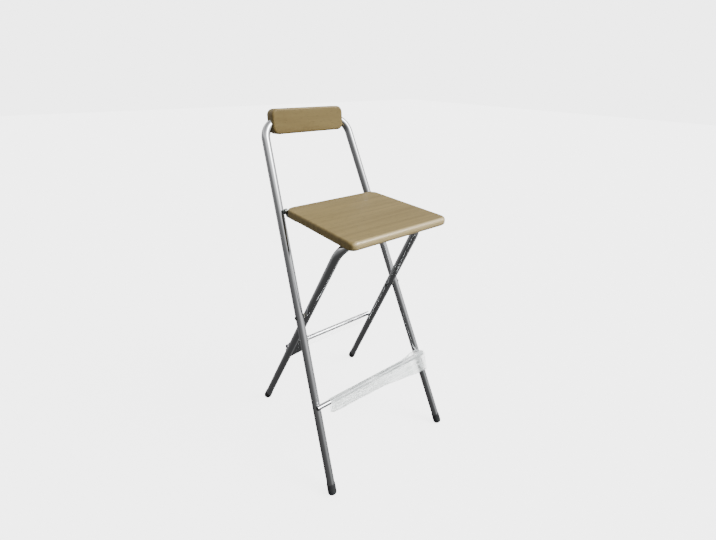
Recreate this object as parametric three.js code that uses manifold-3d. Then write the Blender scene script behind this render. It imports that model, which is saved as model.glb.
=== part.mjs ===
// Folding bar stool: a bent steel back frame with the front legs, a second bent frame inside it
// with the rear legs, a wooden seat board and a wooden back pad.
// Millimetres, +Z up. The stool faces -Y and stands on z = 0, centred on its own outline.
import * as THREE from 'three';
import { mergeVertices } from 'three/addons/utils/BufferGeometryUtils.js';
import Module from 'manifold-3d';

const wasm = await Module();
wasm.setup();

// Overall stance
const seatHeight = 740;
const pivotHeight = 464;
const frontLeanDegrees = 24;
const rearLeanDegrees = 28.4;
const splayDegrees = 4.7;
const pivotHalfWidth = 172;
const backFrameRise = 516;

// Steel tubes
const tubeRadius = 11;
const tubeWall = 1.5;
const topBendRadius = 48;
const frameGap = 4;
const barRadius = 7;
const barWall = 1.2;
const footrestHeight = 244;
const stretcherHeight = 290;
const footrestOverlap = 6;
const stretcherInset = 2;
const plugDepth = 8;
const plugDome = 2.5;

// Seat board
const seatNose = 72;
const seatOverBracket = 2;
const seatThickness = 22;
const seatEdgeRadius = 6;
const seatRearCorner = 32;
const seatFrontCorner = 16;

// Back pad
const padWidth = 220;
const padHeight = 63;
const padThickness = 36;
const padEdgeRadius = 5;
const padCorner = 17;
const padForward = 1.5;
const padRise = 0.5;
const padTiltDegrees = 4;
const padScrewSpread = 120;

// Seat hinges at the rear corners
const hingeStandoff = 22.5;
const hingePinBehind = 4.5;
const hingePinRadius = 2.5;
const hingePinHeadRadius = 4.5;
const hingePinHeadHeight = 1.8;
const hingeEyeRadius = 7.5;
const hingePlate = 3;
const hingeBracketPlate = 4;
const hingeBracketBite = 7.9;
const hingeArmHalfHeight = 10;
const hingeArmOverrun = 4;
const leafLength = 44;
const leafWidth = 28;
const leafScrewInset = 9;

// Hooks under the seat that sit on the rear frame's cross tube
const hookPlate = 2;
const hookWidth = 28;
const hookSpread = 100;
const hookHalfLength = 24;
const hookScrewReach = 19;
const hookFrontWrapDegrees = 100;
const hookRearWrapDegrees = 44;

// Main pivots
const rivetRadius = 3;
const rivetHeadRadius = 5.5;
const rivetHeadHeight = 1.6;
const spacerRadius = 6;
const spacerThickness = 2;

// Foot caps
const capWall = 1;
const capDomeHeight = 8;
const capFloor = 2;
const capLength = 26;
const capRim = 0.6;
const capFlat = 1;

// Screws
const screwRadius = 2;
const screwHeadRadius = 3.6;
const screwHeadHeight = 2.2;
const screwLength = 12;
const recessWidth = 1;
const recessSpan = 4;
const recessDepth = 1.1;
const padScrewBite = 5;
const pilotSlack = 0.5;

// Clear film sleeves left on the two cross bars
const sleeveWall = 0.8;
const sleeveRadius = 9.4;
const sleeveFold = 2.4;
const sleeveCrumple = 0.7;
const footSleeveStart = -150;
const footSleeveOverrun = 11;
const footSleeveHang = 34;
const footSleeveHangRight = 27;
const stretcherSleeveEnd = 140;
const stretcherSleeveStart = -146;
const stretcherSleeveHang = 28;
const stretcherWebRise = 46;
const stretcherWebReach = 34;
const stretcherWebDrop = 10;
const sleeveCreases = 3;
const sleeveCreasePitch = 17;

// Clearances and smoothness
const fit = 0.3;
const overrun = 5;
const sleeveSides = 20;
const sleeveSteps = 14;
const tubeSides = 20;
const boreSides = 14;
const bendSteps = 7;
const turnedSides = 20;
const smallSides = 12;
const cornerSteps = 6;
const edgeSteps = 4;

const degree = Math.PI / 180;
const frontLean = frontLeanDegrees * degree;
const rearLean = rearLeanDegrees * degree;
const splay = splayDegrees * degree;
const barOffset = tubeRadius + barRadius + fit;
const sides = { left: -1, right: 1 };

// Finishes
const chrome = { color: 0xb9babb, roughness: 0.16, metalness: 1 };
const zinc = { color: 0x8d9092, roughness: 0.35, metalness: 1 };
const beech = { color: 0xa8976c, roughness: 0.45, metalness: 0 };
const greyPlastic = { color: 0x4b4b4c, roughness: 0.45, metalness: 0 };
const nylon = { color: 0xd9dad6, roughness: 0.5, metalness: 0 };
const film = { color: 0xd6dcda, roughness: 0.3, metalness: 0 };

// Geometry helpers

// The same surface with shared corners, without needle faces, and with its faces pointing out.
function weld(source) {
  const bare = source.clone();
  bare.deleteAttribute('normal');
  bare.deleteAttribute('uv');
  const merged = mergeVertices(bare);
  const position = merged.attributes.position;
  const corner = [new THREE.Vector3(), new THREE.Vector3(), new THREE.Vector3()];
  const faces = [];
  let volume = 0;
  for (let i = 0; i < merged.index.count; i += 3) {
    const face = [merged.index.getX(i), merged.index.getX(i + 1), merged.index.getX(i + 2)];
    if (face[0] === face[1] || face[1] === face[2] || face[2] === face[0]) continue;
    face.forEach((at, k) => corner[k].fromBufferAttribute(position, at));
    volume += corner[0].dot(corner[1].clone().cross(corner[2]));
    faces.push(face);
  }
  const ordered = volume < 0 ? faces.map(([a, b, c]) => [a, c, b]) : faces;
  merged.setIndex(ordered.flat());
  return merged;
}

function toSolid(geometry) {
  const closed = weld(geometry);
  return new wasm.Manifold(new wasm.Mesh({
    numProp: 3,
    vertProperties: new Float32Array(closed.attributes.position.array),
    triVerts: new Uint32Array(closed.index.array),
  }));
}

function toGeometry(solid) {
  const mesh = solid.getMesh();
  const geometry = new THREE.BufferGeometry();
  geometry.setAttribute('position', new THREE.BufferAttribute(mesh.vertProperties, 3));
  geometry.setIndex(Array.from(mesh.triVerts));
  return geometry;
}

function cut(geometry, ...tools) {
  return toGeometry(tools.reduce((solid, tool) => solid.subtract(toSolid(tool)), toSolid(geometry)));
}

function join(geometry, ...others) {
  return toGeometry(others.reduce((solid, other) => solid.add(toSolid(other)), toSolid(geometry)));
}

function placed(geometry, position, rotation = new THREE.Euler()) {
  const turn = new THREE.Quaternion().setFromEuler(rotation);
  const matrix = new THREE.Matrix4().compose(position, turn, new THREE.Vector3(1, 1, 1));
  return geometry.clone().applyMatrix4(matrix);
}

function at(x, y, z) {
  return new THREE.Vector3(x, y, z);
}

// A body turned round the X axis from [radius, place along X] points.
function turnedAlongX(profile, sideCount) {
  const points = profile.map(([radius, along]) => new THREE.Vector2(radius, along));
  return new THREE.LatheGeometry(points, sideCount).rotateZ(-Math.PI / 2);
}

function rod(radius, from, to, sideCount) {
  return turnedAlongX([[0, from], [radius, from], [radius, to], [0, to]], sideCount);
}

// A flat outline in the YZ plane, thickened along X from one place to another.
function plateAlongX(outline, from, to) {
  const plate = new THREE.ExtrudeGeometry(outline, {
    depth: to - from,
    bevelEnabled: false,
    curveSegments: cornerSteps,
  });
  const axes = new THREE.Matrix4().makeBasis(at(0, 1, 0), at(0, 0, 1), at(1, 0, 0));
  return plate.applyMatrix4(axes).translate(from, 0, 0);
}

// A tube's centre line as stations: a straight run needs only its two ends.
class StationPath extends THREE.Curve {
  constructor(stations) {
    super();
    this.stations = stations;
  }

  getSpacedPoints() {
    return this.stations.map((station) => station.point.clone());
  }

  getTangentAt(share) {
    return this.stations[Math.round(share * (this.stations.length - 1))].tangent.clone();
  }
}

// Straight runs between corners, with every inner corner rounded to one bend radius.
function roundedPath(corners, radius) {
  const stations = [];
  const heading = (from, to) => to.clone().sub(from).normalize();
  stations.push({ point: corners[0], tangent: heading(corners[0], corners[1]) });
  for (let i = 1; i < corners.length - 1; i += 1) {
    const before = heading(corners[i - 1], corners[i]);
    const after = heading(corners[i], corners[i + 1]);
    const turn = before.angleTo(after);
    const inward = after.clone().addScaledVector(before, -before.dot(after)).normalize();
    const start = corners[i].clone().addScaledVector(before, -radius * Math.tan(turn / 2));
    const centre = start.clone().addScaledVector(inward, radius);
    for (let step = 0; step <= bendSteps; step += 1) {
      const angle = turn * step / bendSteps;
      const point = centre.clone()
        .addScaledVector(inward, -radius * Math.cos(angle))
        .addScaledVector(before, radius * Math.sin(angle));
      const tangent = before.clone().multiplyScalar(Math.cos(angle))
        .addScaledVector(inward, Math.sin(angle));
      stations.push({ point, tangent });
    }
  }
  const last = corners.length - 1;
  stations.push({ point: corners[last], tangent: heading(corners[last - 1], corners[last]) });
  return new StationPath(stations);
}

function ring(radius, count) {
  const angles = Array.from({ length: count }, (_, i) => 2 * Math.PI * i / count);
  return angles.map((angle) => new THREE.Vector2(radius * Math.cos(angle), radius * Math.sin(angle)));
}

function sweep(path, outline, hole) {
  const section = new THREE.Shape(outline);
  if (hole) section.holes.push(new THREE.Path(hole));
  return new THREE.ExtrudeGeometry(section, {
    steps: path.stations.length - 1,
    extrudePath: path,
    bevelEnabled: false,
  });
}

function tube(path, radius) {
  return sweep(path, ring(radius, tubeSides));
}

function hollowTube(path, radius, wall) {
  return sweep(path, ring(radius, tubeSides), ring(radius - wall, boreSides));
}

// A groove for a bent tube: round in front and open straight to the back of the bend's plane
function grooveFor(path, radius, reach) {
  const front = ring(radius, tubeSides).filter((point) => point.x > -fit);
  front.sort((a, b) => a.y - b.y);
  const back = [new THREE.Vector2(-reach, radius), new THREE.Vector2(-reach, -radius)];
  return sweep(path, [...front, ...back]);
}

// A rectangle whose two far corners, at +Y, and two near corners have a radius each
function roundedRectangle(width, height, far, near) {
  const [x, y] = [width / 2, height / 2];
  const shape = new THREE.Shape();
  shape.absarc(x - far, y - far, far, 0, Math.PI / 2);
  shape.absarc(far - x, y - far, far, Math.PI / 2, Math.PI);
  shape.absarc(near - x, near - y, near, Math.PI, 1.5 * Math.PI);
  shape.absarc(x - near, near - y, near, 1.5 * Math.PI, 2 * Math.PI);
  return shape;
}

// A board lying in XY, centred on the origin, with its edges rounded over on both faces.
function roundedBoard(width, height, thickness, edgeRadius, farCorner, nearCorner) {
  const inner = roundedRectangle(width - 2 * edgeRadius, height - 2 * edgeRadius,
    farCorner - edgeRadius, nearCorner - edgeRadius);
  const core = thickness - 2 * edgeRadius;
  return new THREE.ExtrudeGeometry(inner, {
    depth: core,
    curveSegments: cornerSteps,
    bevelThickness: edgeRadius,
    bevelSize: edgeRadius,
    bevelSegments: edgeSteps,
  }).translate(0, 0, -core / 2);
}

// Where things are: both frames turn about the pivot axis, s is the distance up a frame's legs.
const pivot = at(0, 0, pivotHeight);
const rearPivotHalfWidth = pivotHalfWidth - 2 * tubeRadius - frameGap;
const halfWidthAt = (pivotWidth, s) => pivotWidth - s * Math.tan(splay);
const frontFootS = -pivotHeight / Math.cos(frontLean);
const rearFootS = -pivotHeight / Math.cos(rearLean);
const footrestS = (footrestHeight - pivotHeight - barOffset * Math.sin(frontLean)) / Math.cos(frontLean);
const stretcherS = (stretcherHeight - pivotHeight - barOffset * Math.sin(rearLean)) / Math.cos(rearLean);
const seatUnderside = seatHeight - seatThickness;
const crossTubeHeight = seatUnderside - fit - hookPlate - fit - tubeRadius;
const rearFrameRise = (crossTubeHeight - pivotHeight) / Math.cos(rearLean);
const crossTubeY = -rearFrameRise * Math.sin(rearLean);
const pinRise = seatHeight - seatThickness / 2 - pivotHeight;
const hingePin = at(0, pinRise * Math.tan(frontLean) - hingeStandoff, pivotHeight + pinRise);
const seatRear = hingePin.y - hingePinBehind;
const seatFront = crossTubeY - seatNose;

// The frames, each a turned group about the pivot, and the seat about its hinge pins
const stool = new THREE.Group();
const backFrame = new THREE.Group();
const rearFrame = new THREE.Group();
const seat = new THREE.Group();
backFrame.position.copy(pivot);
backFrame.rotation.x = -frontLean;
rearFrame.position.copy(pivot);
rearFrame.rotation.x = rearLean;
seat.position.copy(hingePin);
stool.add(backFrame, rearFrame, seat);
stool.updateMatrixWorld(true);

function addPiece(group, name, geometry, finish) {
  const mesh = new THREE.Mesh(weld(geometry), new THREE.MeshStandardMaterial(finish));
  mesh.name = name;
  group.add(mesh);
}

// Bent frames: one tube up a leg, across the top and down the other leg
function capAxis(pivotWidth, footS, side) {
  const foot = at(side * halfWidthAt(pivotWidth, footS), 0, footS);
  const up = at(-side * Math.sin(splay), 0, Math.cos(splay));
  return { foot, up };
}

// How far up the leg the foot cap's dome is centred, so that the floor cuts a small flat on it.
function domeLift(lean) {
  const tilt = Math.acos(Math.cos(lean) * Math.cos(splay));
  const capRadius = tubeRadius + fit + capWall;
  const reach = Math.hypot(capRadius * Math.sin(tilt), capDomeHeight * Math.cos(tilt));
  return (reach - capFlat) / Math.cos(tilt);
}

function framePath(pivotWidth, footS, topS, lean) {
  const lift = domeLift(lean) + capFloor + fit;
  const foot = (side) => {
    const axis = capAxis(pivotWidth, footS, side);
    return axis.foot.addScaledVector(axis.up, lift);
  };
  const corner = (side) => at(side * halfWidthAt(pivotWidth, topS), 0, topS);
  return roundedPath([foot(-1), corner(-1), corner(1), foot(1)], topBendRadius);
}

const backPath = framePath(pivotHalfWidth, frontFootS, backFrameRise, frontLean);
const rearPath = framePath(rearPivotHalfWidth, rearFootS, rearFrameRise, rearLean);

// One shape in world places, moved into the frame that carries it
function intoFrame(group, geometry) {
  return geometry.clone().applyMatrix4(group.matrixWorld.clone().invert());
}

function onSide(side, geometry) {
  return geometry.clone().scale(side, 1, 1);
}

const domeShares = [[0, 1], [0.5, 0.95], [0.86, 0.62], [1, 0.15]];

function domePoints(radius, height, from, direction) {
  return domeShares.map(([out, up]) => [radius * out, from + direction * height * up]);
}

// A screw along X: its head points to -X and its shank runs from x = 0 to its length.
function screw(length) {
  const body = turnedAlongX([
    ...domePoints(screwHeadRadius, screwHeadHeight, 0, -1),
    [screwHeadRadius, 0],
    [screwRadius, 0],
    [screwRadius, length - screwRadius],
    [0, length],
  ], smallSides);
  const slot = new THREE.BoxGeometry(2 * recessDepth, recessWidth, recessSpan);
  const cross = join(slot, slot.clone().rotateX(Math.PI / 2));
  return cut(body, cross.translate(-screwHeadHeight, 0, 0));
}

function rivet(shankRadius, headRadius, headHeight, from, to) {
  return turnedAlongX([
    ...domePoints(headRadius, headHeight, from, -1),
    [headRadius, from],
    [shankRadius, from],
    [shankRadius, to],
    [headRadius, to],
    ...domePoints(headRadius, headHeight, to, 1).reverse(),
  ], smallSides);
}

function washer(boreRadius, radius, from, to) {
  const wall = [[boreRadius, from], [radius, from], [radius, to], [boreRadius, to]];
  return turnedAlongX([...wall, wall[0]], turnedSides);
}

// The bent tubes, drilled for the pivots and for the pad's screws
const padTurn = new THREE.Euler(frontLean - padTiltDegrees * degree, 0, 0);
const padSeat = at(0, 0, backFrameRise);
const padScrewPlaces = [-1, 1].map((side) => side * padScrewSpread / 2);
const padScrewStart = tubeRadius + fit;
const padScrewLength = 2 * padScrewStart + padScrewBite;
const upright = new THREE.Euler(0, -Math.PI / 2, 0);
const towardFront = new THREE.Euler(0, 0, -Math.PI / 2);

function padScrewPart(geometry, x) {
  return placed(placed(geometry, at(x, padScrewStart, 0), towardFront), padSeat, padTurn);
}

function pivotDrill(pivotWidth, side) {
  const reach = tubeRadius + overrun;
  return onSide(side, rod(rivetRadius + fit, pivotWidth - reach, pivotWidth + reach, smallSides));
}

function bentFrame(path, pivotWidth, extraDrills) {
  const drills = [-1, 1].map((side) => pivotDrill(pivotWidth, side));
  return cut(hollowTube(path, tubeRadius, tubeWall), ...drills, ...extraDrills);
}

const padScrewDrills = padScrewPlaces.map((x) => padScrewPart(
  rod(screwRadius + fit, -overrun, padScrewLength + pilotSlack, smallSides), x,
));
addPiece(backFrame, 'back_frame_tube', bentFrame(backPath, pivotHalfWidth, padScrewDrills), chrome);
addPiece(rearFrame, 'rear_frame_tube', bentFrame(rearPath, rearPivotHalfWidth, []), chrome);

// Back pad: a rounded board with a groove in its back that the bent tube lies in
function backPad() {
  const board = roundedBoard(padWidth, padHeight, padThickness, padEdgeRadius, padCorner, padCorner);
  const standing = placed(board, at(0, -padForward, padRise), new THREE.Euler(Math.PI / 2, 0, 0));
  const inPlace = placed(standing, padSeat, padTurn);
  const groove = grooveFor(backPath, tubeRadius + fit, padThickness);
  return cut(inPlace, groove, ...padScrewDrills);
}

addPiece(backFrame, 'back_pad', backPad(), beech);
padScrewPlaces.forEach((x, i) => {
  const name = `pad_screw_${['left', 'right'][i]}`;
  addPiece(backFrame, name, padScrewPart(screw(padScrewLength), x), zinc);
});

// Cross bars: straight tubes welded across the outside of each frame's legs, with end plugs
function crossBar(group, names, half, y, s) {
  const bore = barRadius - barWall;
  const bar = washer(bore, barRadius, -half, half);
  addPiece(group, names.bar, bar.translate(0, y, s), chrome);
  const plug = turnedAlongX([
    [0, -plugDepth],
    [bore - fit, -plugDepth],
    [bore - fit, fit],
    [barRadius, fit],
    ...domePoints(barRadius, plugDome, fit, 1).reverse(),
  ], smallSides);
  Object.entries(sides).forEach(([sideName, side]) => {
    const end = onSide(side, plug.clone().translate(half, 0, 0)).translate(0, y, s);
    addPiece(group, `${names.plug}_${sideName}`, end, greyPlastic);
  });
}

crossBar(backFrame, { bar: 'footrest_bar', plug: 'footrest_plug' },
  halfWidthAt(pivotHalfWidth, footrestS) + footrestOverlap, -barOffset, footrestS);
crossBar(rearFrame, { bar: 'rear_stretcher', plug: 'stretcher_plug' },
  halfWidthAt(rearPivotHalfWidth, stretcherS) - stretcherInset, barOffset, stretcherS);

// Foot caps: cups over the tube ends with a domed base that the floor trims to a small flat
function footCap(group, pivotWidth, footS, lean, side) {
  const bore = tubeRadius + fit;
  const outer = bore + capWall;
  const dome = Array.from({ length: cornerSteps + 1 }, (_, i) => {
    const angle = Math.PI / 2 * i / cornerSteps;
    return new THREE.Vector2(outer * Math.sin(angle), -capDomeHeight * Math.cos(angle));
  });
  const wall = [[outer, capLength - capRim], [outer - capRim, capLength], [bore, capLength],
    [bore, capFloor], [0, capFloor]].map(([radius, up]) => new THREE.Vector2(radius, up));
  const cup = new THREE.LatheGeometry([...dome, ...wall], turnedSides);
  const axis = capAxis(pivotWidth, footS, side);
  const turn = new THREE.Quaternion().setFromUnitVectors(at(0, 1, 0), axis.up);
  const centre = axis.foot.addScaledVector(axis.up, domeLift(lean));
  const matrix = new THREE.Matrix4().compose(centre, turn, at(1, 1, 1));
  const size = 2 * (capLength + outer);
  const under = group.localToWorld(centre.clone()).setZ(-size / 2);
  const floor = placed(new THREE.BoxGeometry(size, size, size), under);
  return cut(cup.applyMatrix4(matrix), intoFrame(group, floor));
}

Object.entries(sides).forEach(([sideName, side]) => {
  const front = footCap(backFrame, pivotHalfWidth, frontFootS, frontLean, side);
  const rear = footCap(rearFrame, rearPivotHalfWidth, rearFootS, rearLean, side);
  addPiece(backFrame, `front_foot_cap_${sideName}`, front, greyPlastic);
  addPiece(rearFrame, `rear_foot_cap_${sideName}`, rear, greyPlastic);
});

// Main pivots: a rivet through both legs on each side, with a nylon washer in the gap
const crest = tubeRadius / Math.cos(splay);
const headGap = rivetHeadRadius * Math.tan(splay) + fit;
Object.entries(sides).forEach(([sideName, side]) => {
  const from = rearPivotHalfWidth - crest - headGap;
  const to = pivotHalfWidth + crest + headGap;
  const pin = rivet(rivetRadius, rivetHeadRadius, rivetHeadHeight, from, to);
  addPiece(backFrame, `pivot_rivet_${sideName}`, onSide(side, pin), zinc);
  const middle = (pivotHalfWidth + rearPivotHalfWidth) / 2;
  const spacer = washer(rivetRadius + fit, spacerRadius,
    middle - spacerThickness / 2, middle + spacerThickness / 2);
  addPiece(backFrame, `pivot_spacer_${sideName}`, onSide(side, spacer), nylon);
});

// Seat hinges: a bracket welded to each leg, a leaf screwed under the seat, a pin through both
const legInnerFace = halfWidthAt(pivotHalfWidth, pinRise / Math.cos(frontLean)) - crest;
const bracketOuter = legInnerFace + hingeBracketBite;
const bracketInner = bracketOuter - hingeBracketPlate;
const leafOuter = bracketInner - fit;
const leafTop = seatUnderside - fit;
const pinHole = rod(hingePinRadius + fit, bracketInner - leafWidth, bracketOuter + overrun, smallSides)
  .translate(0, hingePin.y, hingePin.z);

// A drill straight up for a screw whose head lies against z, under the seat
function underDrill(place) {
  const hole = rod(screwRadius + fit, -overrun, screwLength + pilotSlack, smallSides);
  return placed(hole, place, upright);
}

function hingeBracket() {
  const end = hingePin.y + hingeStandoff + hingeArmOverrun;
  const outline = new THREE.Shape();
  outline.moveTo(end, hingePin.z + hingeArmHalfHeight);
  outline.absarc(hingePin.y, hingePin.z, hingeEyeRadius, Math.PI / 2, 1.5 * Math.PI);
  outline.lineTo(end, hingePin.z - hingeArmHalfHeight);
  const plate = plateAlongX(outline, bracketInner, bracketOuter);
  return cut(plate, pinHole);
}

const leafScrewPlaces = [0, 1].map((end) => at(
  leafOuter - hingePlate - leafScrewInset,
  hingePin.y - hingeEyeRadius - leafScrewInset - end * (leafLength - 2 * leafScrewInset),
  leafTop - hingePlate - fit,
));

function hingeLeaf() {
  const flange = new THREE.BoxGeometry(leafWidth, leafLength, hingePlate).translate(
    leafOuter - leafWidth / 2,
    hingePin.y - hingeEyeRadius - leafLength / 2,
    leafTop - hingePlate / 2,
  );
  const outline = new THREE.Shape();
  outline.moveTo(hingePin.y - 2 * hingeEyeRadius, leafTop);
  outline.absarc(hingePin.y, hingePin.z, hingeEyeRadius, Math.PI, 0, true);
  outline.lineTo(hingePin.y, leafTop - hingePlate);
  outline.lineTo(hingePin.y - 2 * hingeEyeRadius, leafTop - hingePlate);
  const ear = plateAlongX(outline, leafOuter - hingePlate, leafOuter);
  return cut(join(flange, ear), pinHole, ...leafScrewPlaces.map(underDrill));
}

Object.entries(sides).forEach(([sideName, side]) => {
  const plate = intoFrame(backFrame, onSide(side, hingeBracket()));
  const bracket = cut(plate, tube(backPath, tubeRadius + fit));
  addPiece(backFrame, `hinge_bracket_${sideName}`, bracket, zinc);
  const pin = rivet(hingePinRadius, hingePinHeadRadius, hingePinHeadHeight,
    leafOuter - hingePlate - fit, bracketOuter + fit).translate(0, hingePin.y, hingePin.z);
  addPiece(backFrame, `hinge_pin_${sideName}`, intoFrame(backFrame, onSide(side, pin)), zinc);
  addPiece(seat, `hinge_leaf_${sideName}`, intoFrame(seat, onSide(side, hingeLeaf())), zinc);
});

// Hooks under the seat: each lies over the cross tube, deep in front and shallow behind
const hookScrewPlaces = [1, -1].map((end) => at(
  hookSpread / 2,
  crossTubeY + end * hookScrewReach,
  leafTop - hookPlate - fit,
));

function seatHook() {
  const inner = tubeRadius + fit;
  const outer = inner + hookPlate;
  const front = Math.PI / 2 + hookFrontWrapDegrees * degree;
  const rear = Math.PI / 2 - hookRearWrapDegrees * degree;
  const wrap = new THREE.Shape();
  wrap.absarc(0, 0, outer, rear, front);
  wrap.absarc(0, 0, inner, front, rear, true);
  const base = new THREE.BoxGeometry(hookWidth, 2 * hookHalfLength, hookPlate)
    .translate(0, 0, inner + hookPlate / 2);
  const saddle = join(plateAlongX(wrap, -hookWidth / 2, hookWidth / 2), base);
  const inPlace = placed(saddle, at(hookSpread / 2, crossTubeY, crossTubeHeight));
  return cut(inPlace, ...hookScrewPlaces.map(underDrill));
}

Object.entries(sides).forEach(([sideName, side]) => {
  addPiece(seat, `seat_hook_${sideName}`, intoFrame(seat, onSide(side, seatHook())), greyPlastic);
});

// Seat board, from just over the brackets to ahead of the cross tube, with blind pilot holes
const seatScrewPlaces = { leaf: leafScrewPlaces, hook: hookScrewPlaces };
const screwEnds = ['rear', 'front'];

function seatBoard() {
  const width = 2 * (bracketOuter + seatOverBracket);
  const depth = seatRear - seatFront;
  const board = roundedBoard(width, depth, seatThickness, seatEdgeRadius, seatRearCorner, seatFrontCorner)
    .translate(0, (seatRear + seatFront) / 2, hingePin.z);
  const rightDrills = Object.values(seatScrewPlaces).flat().map(underDrill);
  return cut(board, ...rightDrills, ...rightDrills.map((drill) => onSide(-1, drill)));
}

addPiece(seat, 'seat_board', intoFrame(seat, seatBoard()), beech);
Object.entries(sides).forEach(([sideName, side]) => {
  Object.entries(seatScrewPlaces).forEach(([kind, places]) => {
    places.forEach((place, i) => {
      const piece = onSide(side, placed(screw(screwLength), place, upright));
      addPiece(seat, `${kind}_screw_${sideName}_${screwEnds[i]}`, intoFrame(seat, piece), zinc);
    });
  });
});

// Film sleeves: loose flat tubes of clear film, hung over the two cross bars
function sleeveRing({ centre, rise, hang, turn }, inset) {
  const discs = [
    { up: rise - sleeveFold, radius: sleeveFold },
    { up: 0, radius: sleeveRadius },
    { up: sleeveFold - hang, radius: sleeveFold },
  ];
  return Array.from({ length: sleeveSides }, (_, i) => {
    const angle = 2 * Math.PI * i / sleeveSides;
    const [across, up] = [Math.cos(angle), Math.sin(angle)];
    const reach = (disc) => disc.up * up + disc.radius;
    const far = discs.reduce((best, disc) => (reach(disc) > reach(best) ? disc : best));
    const crease = Math.sin(sleeveCreases * angle + centre.x / sleeveCreasePitch);
    const radius = far.radius - inset + sleeveCrumple * crease;
    return at(0, radius * across, far.up + radius * up).applyAxisAngle(at(1, 0, 0), turn).add(centre);
  });
}

// A closed skin over rings of equal count: round the outside, back inside, shut at both ends.
function skinOver(rings) {
  const loop = [...rings, rings[0]];
  const points = rings.flat().flatMap((point) => point.toArray());
  const faces = [];
  const count = rings[0].length;
  for (let r = 0; r < loop.length - 1; r += 1) {
    const next = (r + 1) % rings.length;
    for (let i = 0; i < count; i += 1) {
      const j = (i + 1) % count;
      const [a, b] = [r * count + i, r * count + j];
      const [c, d] = [next * count + j, next * count + i];
      faces.push(a, b, c, a, c, d);
    }
  }
  const geometry = new THREE.BufferGeometry();
  geometry.setAttribute('position', new THREE.Float32BufferAttribute(points, 3));
  geometry.setIndex(faces);
  return geometry;
}

function sleeve(stations) {
  const outside = stations.map((station) => sleeveRing(station, 0));
  const inside = stations.map((station) => sleeveRing(station, sleeveWall));
  return skinOver([...outside, ...inside.reverse()]);
}

function stationsBetween(start, end, describe) {
  return Array.from({ length: sleeveSteps + 1 }, (_, i) => {
    const share = i / sleeveSteps;
    return describe(THREE.MathUtils.lerp(start, end, share), share);
  });
}

function barCentre(group, x, y, s) {
  return group.localToWorld(at(0, y, s)).setX(x);
}

// The footrest's sleeve is slit behind at its right end, where both legs lie close to the bar
function footrestSleeve() {
  const legAt = halfWidthAt(pivotHalfWidth, footrestS);
  const film = sleeve(stationsBetween(footSleeveStart, legAt + footSleeveOverrun, (x, share) => ({
    centre: barCentre(backFrame, x, -barOffset, footrestS),
    rise: sleeveRadius,
    hang: THREE.MathUtils.lerp(footSleeveHang, footSleeveHangRight, share),
    turn: -frontLean * share,
  })));
  const from = halfWidthAt(rearPivotHalfWidth, footrestS) - crest - overrun;
  const size = 2 * (legAt - from) + footSleeveHang;
  const legs = new THREE.BoxGeometry(size, size, size)
    .translate(from + size / 2, size / 2 - tubeRadius - sleeveWall, footrestS);
  return cut(intoFrame(backFrame, film), legs);
}

// The rear sleeve's left end is pulled up along the leg and droops beside it
function stretcherSleeve() {
  const film = sleeve(stationsBetween(stretcherSleeveStart, stretcherSleeveEnd, (x) => {
    const near = Math.max(0, 1 - (x - stretcherSleeveStart) / stretcherWebReach);
    return {
      centre: barCentre(rearFrame, x, barOffset, stretcherS),
      rise: sleeveRadius + (stretcherWebRise - sleeveRadius) * near ** 2,
      hang: stretcherSleeveHang + stretcherWebDrop * near,
      turn: 0,
    };
  }));
  return intoFrame(rearFrame, film);
}

addPiece(backFrame, 'footrest_sleeve', footrestSleeve(), film);
addPiece(rearFrame, 'stretcher_sleeve', stretcherSleeve(), film);

// The whole stool is centred on its own outline
const outline = new THREE.Box3().setFromObject(stool);
stool.position.y = -(outline.min.y + outline.max.y) / 2;

export default stool;
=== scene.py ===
# Folding bar stool: chromed tube frames, lacquered beech seat and pad, clear film left on the bars
import math

import bmesh
import bpy
from mathutils import Matrix, Vector, noise


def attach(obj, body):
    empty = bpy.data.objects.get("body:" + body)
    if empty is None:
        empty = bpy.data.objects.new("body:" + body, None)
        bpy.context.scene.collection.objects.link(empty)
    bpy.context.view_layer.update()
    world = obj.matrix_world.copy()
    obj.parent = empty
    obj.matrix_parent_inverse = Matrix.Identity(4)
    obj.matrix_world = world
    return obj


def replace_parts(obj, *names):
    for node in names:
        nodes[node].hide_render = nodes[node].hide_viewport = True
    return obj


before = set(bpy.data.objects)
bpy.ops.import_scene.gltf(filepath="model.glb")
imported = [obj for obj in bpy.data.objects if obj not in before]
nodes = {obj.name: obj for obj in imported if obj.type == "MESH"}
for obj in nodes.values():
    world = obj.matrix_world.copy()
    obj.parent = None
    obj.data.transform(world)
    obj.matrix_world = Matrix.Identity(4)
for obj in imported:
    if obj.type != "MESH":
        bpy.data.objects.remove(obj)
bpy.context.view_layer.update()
mm = 0.001        # the sizes below are in millimetres and degrees
nearly = 0.01     # mm, places closer than this count as one
print("frame loaded:", len(nodes), "nodes")

# where the two frames turn, and how they stand, as in the CAD
stance = {
    "pivot": (0, -21.76, 464),
    "frontLean": 24,      # degrees from upright, the back frame leans back
    "rearLean": 28.4,     # the rear frame leans forward
    "splay": 4.7,         # each leg leans outwards
    "pivotHalfWidth": 172,         # from the middle to the legs at the pivot
    "rearPivotHalfWidth": 146,
}
pivotPlace = Matrix.Translation(Vector(stance["pivot"]) * mm)
backFramePlace = pivotPlace @ Matrix.Rotation(math.radians(-stance["frontLean"]), 4, "X")
rearFramePlace = pivotPlace @ Matrix.Rotation(math.radians(stance["rearLean"]), 4, "X")


def linear(hexColour):
    parts = [int(hexColour[i:i + 2], 16) / 255 for i in (1, 3, 5)]
    parts = [c / 12.92 if c <= 0.04045 else ((c + 0.055) / 1.055) ** 2.4 for c in parts]
    return (*parts, 1.0)


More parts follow.
